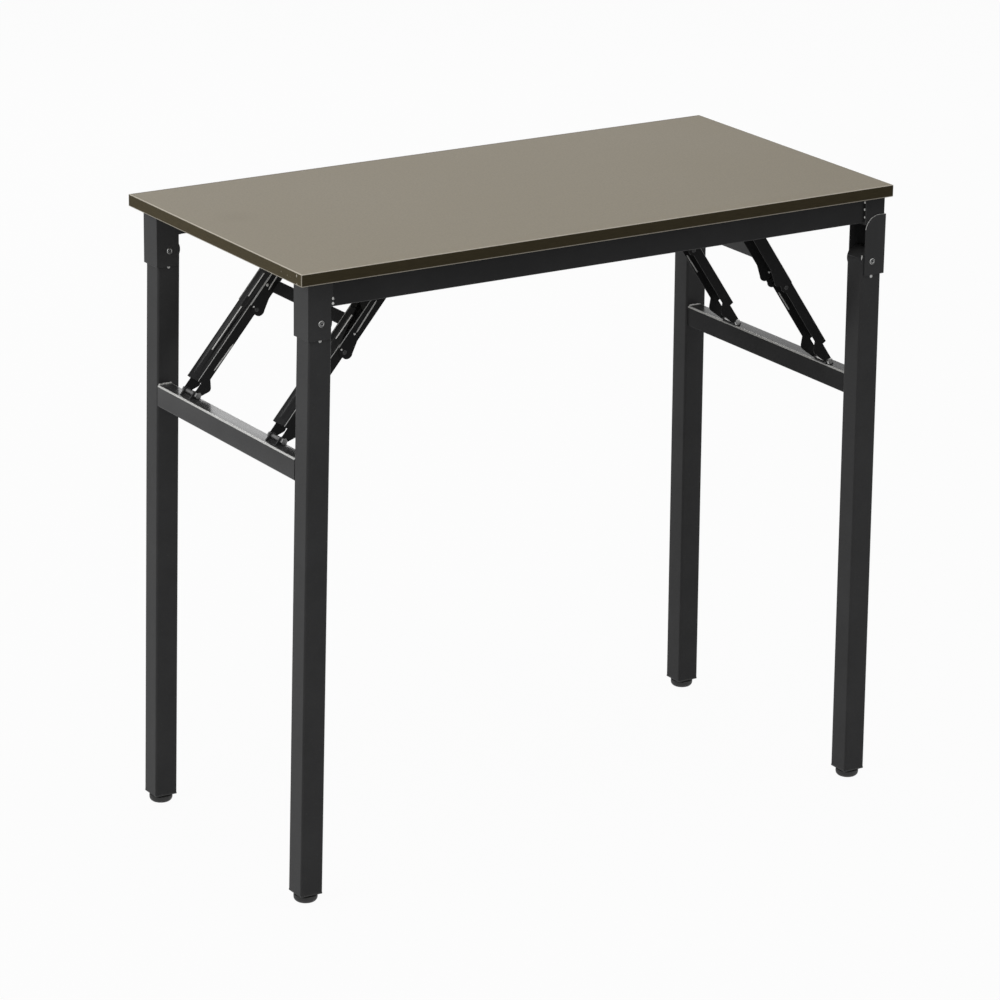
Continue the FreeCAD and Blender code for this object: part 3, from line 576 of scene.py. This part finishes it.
class FOLDDESK_OT_tabletop(DeskOperator):
    """Finish the board and its edge bands"""
    bl_idname = "folddesk.tabletop"
    bl_label = "Tabletop"

    def make(self, looks):
        board = frame["nodes"]["board_core"].data
        board.materials.clear()
        board.materials.append(laminate(looks))
        # Each side's pale arris, by strength, and brown, by depth: the front and left arris are painted
        # highlights, kept faint at the rear and right, and the left band is painted lighter as the lit side
        bands = (("front", 1.0, 1.05), ("left", 1.0, 1.55), ("rear", 0.12, 1.05), ("right", 0.12, 1.05))
        for side, arris, depth in bands:
            node = side + "_edge_band"
            brown = edging(looks, node, arris, depth)
            softened(node, node + "_rounded", looks.band_round, looks.edge_steps, brown)


class FOLDDESK_OT_under_frame(DeskOperator):
    """Finish the rails, cross rails, sleeves, posts and top brackets under the board"""
    bl_idname = "folddesk.under_frame"
    bl_label = "Under frame"

    def make(self, looks):
        coat = powder_coat(looks, "frame_coat", 0.3, 0.11)
        rail_coat = powder_coat(looks, "rail_coat", 0.36, 0.07, depth=0.72)
        for ending, axis in (("front_rail", X), ("rear_rail", X), ("_cross_rail", Y), ("_post", Z)):
            for node in nodes_like(ending):
                softened(node, node + "_coated", looks.tube_round, looks.edge_steps, rail_coat, axis)
        for node in nodes_like("_top_bracket"):
            softened(node, node + "_coated", looks.sheet_round, looks.edge_steps, coat)
        for node in nodes_like("_sleeve"):
            # The upper edges of the right sleeves are painted steel-pale as a highlight
            bare_or_highlight = self.faces_up if node.startswith("right") else None
            softened(node, node + "_coated", looks.sheet_round, looks.edge_steps, coat, bare_or_highlight=bare_or_highlight)

    def faces_up(self, face):
        """Whether a face is on the upper edge of a right sleeve, which is painted steel-pale as a highlight.
        """
        return face.normal.z > 0.1


class FOLDDESK_OT_leg_frames(DeskOperator):
    """Finish the legs, crossbars and crossbar brackets"""
    bl_idname = "folddesk.leg_frames"
    bl_label = "Leg frames"

    def make(self, looks):
        coat = powder_coat(looks, "leg_coat", 0.3, 0.095)
        for node in nodes_like("_leg"):
            # Downward faces at a leg's foot are painted as pale folds: a painted highlight line along the
            # foot, partly rubbing
            softened(node, node + "_coated", looks.tube_round, looks.edge_steps, coat, Z,
                     corners=self.at_foot, corner_round=looks.sheet_round * 2.0,
                     wear_and_highlight_level=lambda face: FOLDED if face.normal.z < -0.3 else ROUNDED)
        for node in nodes_like("_bar_bracket"):
            softened(node, node + "_coated", looks.sheet_round, looks.edge_steps, coat)
        for node in nodes_like("right_front_leg", "right_rear_leg"):
            self.scrape(node, coat)
        for end, specular in (("left", 0.14), ("right", 0.02)):
            glossy = powder_coat(looks, end + "_crossbar_coat", 0.2, specular, 0.004)
            node = end + "_crossbar"
            # Upward rounded faces along each crossbar are painted steel-pale: a painted highlight along its
            # upper edges
            softened(node, node + "_coated", looks.bar_round, looks.edge_steps, glossy, Y,
                     wear_and_highlight_level=lambda face: BARE_OR_HIGHLIGHT if face.normal.z > 0.1 else ROUNDED)

    def at_foot(self, edge):
        """Whether an edge is a cut edge at the foot of a leg, on its front or rear wall."""
        return (not runs_along(edge, Z) and max(tip.co.z for tip in edge.verts) < 0.05
                and any(abs(face.normal.y) > 0.9 for face in edge.link_faces))

    def scrape(self, node, coat):
        """Bare metal on the outer edge of a leg at the height of its pivot, where the sleeve rubs it."""
        inset, below, above, slant = 0.0009, 0.002, 0.0085, 0.7071
        low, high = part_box(node)
        side = high.y - low.y
        face, out = (low.y, -1.0) if "front" in node else (high.y, 1.0)
        pivot = Vector(JOINTS["right_fold"]["pos_m"])
        edge = Vector((pivot.x - 0.5 * side + inset, face - inset * out, pivot.z))
        ridge(node + "_scrape", edge - Vector((0.0, 0.0, below)), edge + Vector((0.0, 0.0, above)),
              (slant, slant * out, 0.0), (-slant, slant * out, 0.0), 0.0018, 0.0006, coat,
              BODY_OF[node])


class FOLDDESK_OT_stays(DeskOperator):
    """Finish the folding stays and their tie straps"""
    bl_idname = "folddesk.stays"
    bl_label = "Stays"

    def make(self, looks):
        # The stays take the frame's coat colour, painted darker (0.62) as the shade under the board
        coat = powder_coat(looks, "stay_coat", 0.24, 0.02, 0.1, 0.62)
        for node in nodes_like("_link"):
            self.link(node, looks, coat)
        for node in nodes_like("_tie_strap"):
            softened(node, node + "_coated", looks.sheet_round, looks.edge_steps, coat)
        # Near-white, little-metallic rivet heads, partly a painted highlight so that they show as glints in
        # the shade under the board
        steel = bare_steel(looks, "strap_rivet_steel", (0.9, 0.9, 0.88), 0.3, 0.15)
        for dress in (self.dress_left, self.dress_right):
            for row in ("front", "rear"):
                dress(row, coat, steel)

    def link(self, node, looks, coat):
        """A link with folds painted pale as highlight lines, partly rubbing; a lower one also has a rib whose
        crest is painted steel-pale in places as a highlight, and a nose at its foot.
        """
        lower = "lower" in node
        nose_depth = 0.0115
        # Stretches of the rib's crest painted as a highlight, in metres up the stay from its lower pivot
        rib_highlight = ((0.054, 0.1145), (0.1285, 0.161))
        low, up, inwards = stay_frame(*node.split("_")[:2])

        def on_rib(face):
            return face.normal.dot(inwards) < -0.85 and -0.42 < face.normal.y < -0.12

        def at_nose(edge):
            return runs_along(edge, Y) and all((tip.co - low).dot(inwards) > nose_depth for tip in edge.verts)

        spans = [(low + up * start, low + up * stop) for start, stop in rib_highlight if lower]
        softened(node, node + "_coated", looks.sheet_round, looks.edge_steps, coat, fold=looks.fold_round,
                 crest=on_rib, spans=spans, corners=at_nose if lower else None,
                 corner_round=looks.nose_round, smooth=32.0)

    def dress_left(self, row, coat, steel):
        """Beads and rivets on both outer walls of a left stay."""
        lower, upper = ("left_%s_%s_link" % (row, half) for half in ("lower", "upper"))
        strap_rivet = (0.151, -0.0062, 0.0018) if row == "rear" else (0.1443, -0.0021, 0.0014)
        knee_rivet = (0.1213, -0.0048, 0.0012)
        self.bead(lower, coat, self.outer_walls(lower), (0.034, 0.0004), (0.0735, 0.0018))
        self.bead(upper, coat, self.outer_walls(upper), (0.1465, -0.0012), (0.19, -0.0031))
        self.rivets(upper, steel, self.outer_walls(upper), strap_rivet, knee_rivet)

    def dress_right(self, row, coat, steel):
        """A bead and a rivet on the inner side of a right stay's rear wall."""
        lower, upper = ("right_%s_%s_link" % (row, half) for half in ("lower", "upper"))
        self.bead(lower, coat, self.inner_wall(lower), (0.076, 0.0004), (0.106, 0.0008))
        self.rivets(upper, steel, self.inner_wall(upper), (0.135, -0.0028, 0.0016))

    def outer_walls(self, node):
        """Front and rear outer walls of a link: a name, the Y of the wall and the side it faces."""
        low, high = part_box(node)
        return ("front", low.y, -1), ("rear", high.y, 1)

    def inner_wall(self, node):
        """The inner side of a link's rear wall, one sheet in from its outer side."""
        return (("inner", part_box(node)[1].y - STAY_SHEET, -1),)

    def on_wall(self, node, y, along, inset):
        """A point on a wall, by its distances up the stay and inwards from the line of the stay."""
        low, up, inwards = stay_frame(*node.split("_")[:2])
        return Vector((low.x, y, low.z)) + up * along + inwards * inset

    def bead(self, node, coat, walls, start, stop):
        """A pressed bead along the walls of a link, between two points given as in on_wall; it is painted
        steel-pale as a highlight line.
        """
        width, rise = 0.0019, 0.0006
        across = stay_frame(*node.split("_")[:2])[2]
        for label, y, out in walls:
            first, last = (self.on_wall(node, y, *point) for point in (start, stop))
            ridge("%s_%s_bead" % (node, label), first, last, across, (0.0, out, 0.0), width, rise, coat,
                  BODY_OF[node])

    def rivets(self, node, steel, walls, *heads):
        """Small rivet heads on the walls of a link, each by its distances as in on_wall and its radius."""
        rise = 0.0007
        for label, y, out in walls:
            for number, (along, inset, radius) in enumerate(heads):
                button("%s_%s_rivet_%d" % (node, label, number), self.on_wall(node, y, along, inset), out,
                       radius, rise, steel, BODY_OF[node])


class FOLDDESK_OT_fasteners(DeskOperator):
    """Finish the rivets, pins, bolts and screws"""
    bl_idname = "folddesk.fasteners"
    bl_label = "Fasteners"

    def make(self, looks):
        dark = bare_steel(looks, "blackened_steel", (0.06, 0.06, 0.062), 0.3, 1.0, 0.5)
        bright = bare_steel(looks, "bright_steel", (0.9, 0.9, 0.88), 0.25, 0.15)
        # The same zinc bolts in two copies: darker on the left as painted shade, paler on the right as
        # painted light
        lit_bolt_steel = bare_steel(looks, "bolt_steel_painted_lit", (0.62, 0.62, 0.61), 0.25, 0.75, 0.5)
        shaded_bolt_steel = bare_steel(looks, "bolt_steel_painted_shade", (0.2, 0.2, 0.2), 0.3, 0.85, 0.3)
        dull = bare_steel(looks, "dull_steel", (0.035, 0.035, 0.036), 0.4, 0.6, 0.05)
        steels = (("_leg_rivets", bright), ("left_lower_bolts", shaded_bolt_steel), ("right_lower_bolts", lit_bolt_steel),
                  ("_leg_pivot_rivets", dark), ("_knee_rivets", dull), ("_pins", dull), ("_screws", dull))
        for ending, steel in steels:
            for node in nodes_like(ending):
                softened(node, node + "_steel", looks.head_round, looks.edge_steps, steel)


class FOLDDESK_OT_feet(DeskOperator):
    """Finish the glides and their inserts in the leg ends"""
    bl_idname = "folddesk.feet"
    bl_label = "Feet"

    def make(self, looks):
        plastic = foot_plastic(looks)
        for node in nodes_like("_glide", "_foot_insert"):
            softened(node, node + "_moulded", looks.sheet_round, looks.edge_steps, plastic)


class FOLDDESK_OT_welds(DeskOperator):
    """Lay the weld beads at the ends of the rails and crossbars"""
    bl_idname = "folddesk.welds"
    bl_label = "Welds"

    def make(self, looks):
        steel = bare_steel(looks, "weld_steel", (0.78, 0.78, 0.76), 0.35, 0.35)
        radius = looks.weld_radius
        spot_half, bar_sink, bar_margin = 0.0006, 0.0004, 0.002
        seed = 11
        for row, side in (("front", 0), ("rear", 1)):
            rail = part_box(row + "_rail")
            low, high = rail
            face = rail[side].y
            proud = 0.5 * (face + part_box("right_%s_post" % row)[side].y)
            # Each end's X and Y, first spot below the rail's top, gap between spots and their number
            ends = (("left", low.x, face, 0.0208, 0.0054, 2), ("right", high.x, proud, 0.0045, 0.009, 3))
            for end, x, y, drop, gap, spots in ends:
                for number in range(spots):
                    z = high.z - drop - number * gap
                    weld_row("%s_%s_rail_weld_%d" % (end, row, number), (x, y, z + spot_half),
                             (x, y, z - spot_half), 2, radius * 0.75, Y, steel, "desk", seed)
                    seed += 1
        for end in ("left", "right"):
            low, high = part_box(end + "_crossbar")
            top = high.z - bar_sink
            for row, y in (("front", low.y), ("rear", high.y)):
                weld_row("%s_%s_crossbar_weld" % (end, row), (low.x + bar_margin, y, top),
                         (high.x - bar_margin, y, top), 7, radius, Y, steel, end + "_frame", seed)
                seed += 1


class FOLDDESK_OT_stage(bpy.types.Operator):
    """Set up the floor, the light and the camera"""
    bl_idname = "folddesk.stage"
    bl_label = "Stage"
    bl_options = {"REGISTER", "UNDO"}

    def execute(self, context):
        stage = context.scene.folding_desk_stage
        self.floor()
        self.world(context.scene, stage)
        # Name, place, width, height and power of each lamp
        lamps = (("key_softbox", (-1.9, -0.3, 1.4), 1.2, 1.2, stage.key_power),
                 ("back_softbox", (1.6, 3.6, 1.9), 2.8, 1.6, stage.back_power),
                 ("top_softbox", (0.0, -0.4, 3.4), 3.0, 2.4, stage.top_power),
                 ("rim_strip", (-0.1, 3.4, 2.8), 1.6, 0.7, stage.rim_power))
        for lamp in lamps:
            self.softbox(*lamp)
        self.camera(context.scene, stage)
        context.scene.view_settings.view_transform = "Standard"
        return {"FINISHED"}

    def floor(self):
        """A wide pale floor that shows as white, with the desk's shadow kept faint."""
        half_width, whiteness = 30.0, 0.96
        bm = bmesh.new()
        bmesh.ops.create_grid(bm, x_segments=4, y_segments=4, size=half_width)
        mesh = bpy.data.meshes.new("floor")
        bm.to_mesh(mesh)
        bm.free()
        shade = surface_shade("pale_floor")
        plain = shade.add("ShaderNodeBsdfDiffuse", None, {"Color": (0.55, 0.55, 0.55, 1.0)})
        white = shade.add("ShaderNodeEmission", None, {"Color": (1.0, 1.0, 1.0, 1.0), "Strength": 1.0})
        mix = {0: shade.shown() * whiteness, 1: plain, 2: white}
        shade.add_output(shade.add("ShaderNodeMixShader", None, mix))
        mesh.materials.append(shade.owner)
        floor = bpy.data.objects.new("floor", mesh)
        bpy.context.scene.collection.objects.link(floor)

    def world(self, scene, stage):
        """A room that lights the desk softly and shows as white."""
        scene.world = bpy.data.worlds.new("studio")
        shade = Shade(scene.world)
        strength = stage.ambient + (1.0 - stage.ambient) * shade.shown()
        sockets = {"Color": (1.0, 1.0, 1.0, 1.0), "Strength": strength}
        room = shade.add("ShaderNodeBackground", None, sockets)
        shade.add_output(room, "ShaderNodeOutputWorld")

    def softbox(self, name, place, width, height, power):
        """An area lamp that points at the middle of the desk."""
        aim = Vector((0.0, 0.0, 0.4))
        light = bpy.data.lights.new(name, "AREA")
        light.shape = "RECTANGLE"
        light.size = width
        light.size_y = height
        light.energy = power
        lamp = bpy.data.objects.new(name, light)
        lamp.location = place
        lamp.rotation_euler = (aim - Vector(place)).to_track_quat("-Z", "Y").to_euler()
        bpy.context.scene.collection.objects.link(lamp)

    def camera(self, scene, stage):
        """The camera, turned so that its picture's right and down are as set."""
        view = bpy.data.cameras.new("camera")
        view.sensor_fit = "HORIZONTAL"
        view.sensor_width = 36.0
        view.lens = stage.lens
        view.clip_end = 100.0
        right = Vector(stage.camera_right).normalized()
        down = Vector(stage.camera_down).normalized()
        turn = Matrix((right, -down, right.cross(-down))).transposed().to_4x4()
        camera = bpy.data.objects.new("camera", view)
        camera.matrix_world = Matrix.Translation(Vector(stage.camera_place)) @ turn
        scene.collection.objects.link(camera)
        scene.camera = camera


OPERATORS = (FOLDDESK_OT_tabletop, FOLDDESK_OT_under_frame, FOLDDESK_OT_leg_frames, FOLDDESK_OT_stays,
             FOLDDESK_OT_fasteners, FOLDDESK_OT_feet, FOLDDESK_OT_welds, FOLDDESK_OT_stage)


class FOLDDESK_PT_panel(bpy.types.Panel):
    """Settings of the desk and of the stage, and the operators in order"""
    bl_idname = "FOLDDESK_PT_panel"
    bl_label = "Folding desk"
    bl_space_type = "VIEW_3D"
    bl_region_type = "UI"
    bl_category = "Folding desk"

    def draw(self, context):
        for settings in (context.scene.folding_desk_looks, context.scene.folding_desk_stage):
            box = self.layout.box()
            for name in settings.__annotations__:
                box.prop(settings, name)
        for operator in OPERATORS:
            self.layout.operator(operator.bl_idname)


CLASSES = (FoldingDeskLooks, FoldingDeskStage) + OPERATORS + (FOLDDESK_PT_panel,)


def register():
    for item in CLASSES:
        bpy.utils.register_class(item)
    bpy.types.Scene.folding_desk_looks = PointerProperty(type=FoldingDeskLooks)
    bpy.types.Scene.folding_desk_stage = PointerProperty(type=FoldingDeskStage)


def unregister():
    del bpy.types.Scene.folding_desk_stage
    del bpy.types.Scene.folding_desk_looks
    for item in reversed(CLASSES):
        bpy.utils.unregister_class(item)


def main():
    register()
    for operator in OPERATORS:
        group, name = operator.bl_idname.split(".")
        getattr(getattr(bpy.ops, group), name)()


if __name__ == "__main__":
    main()
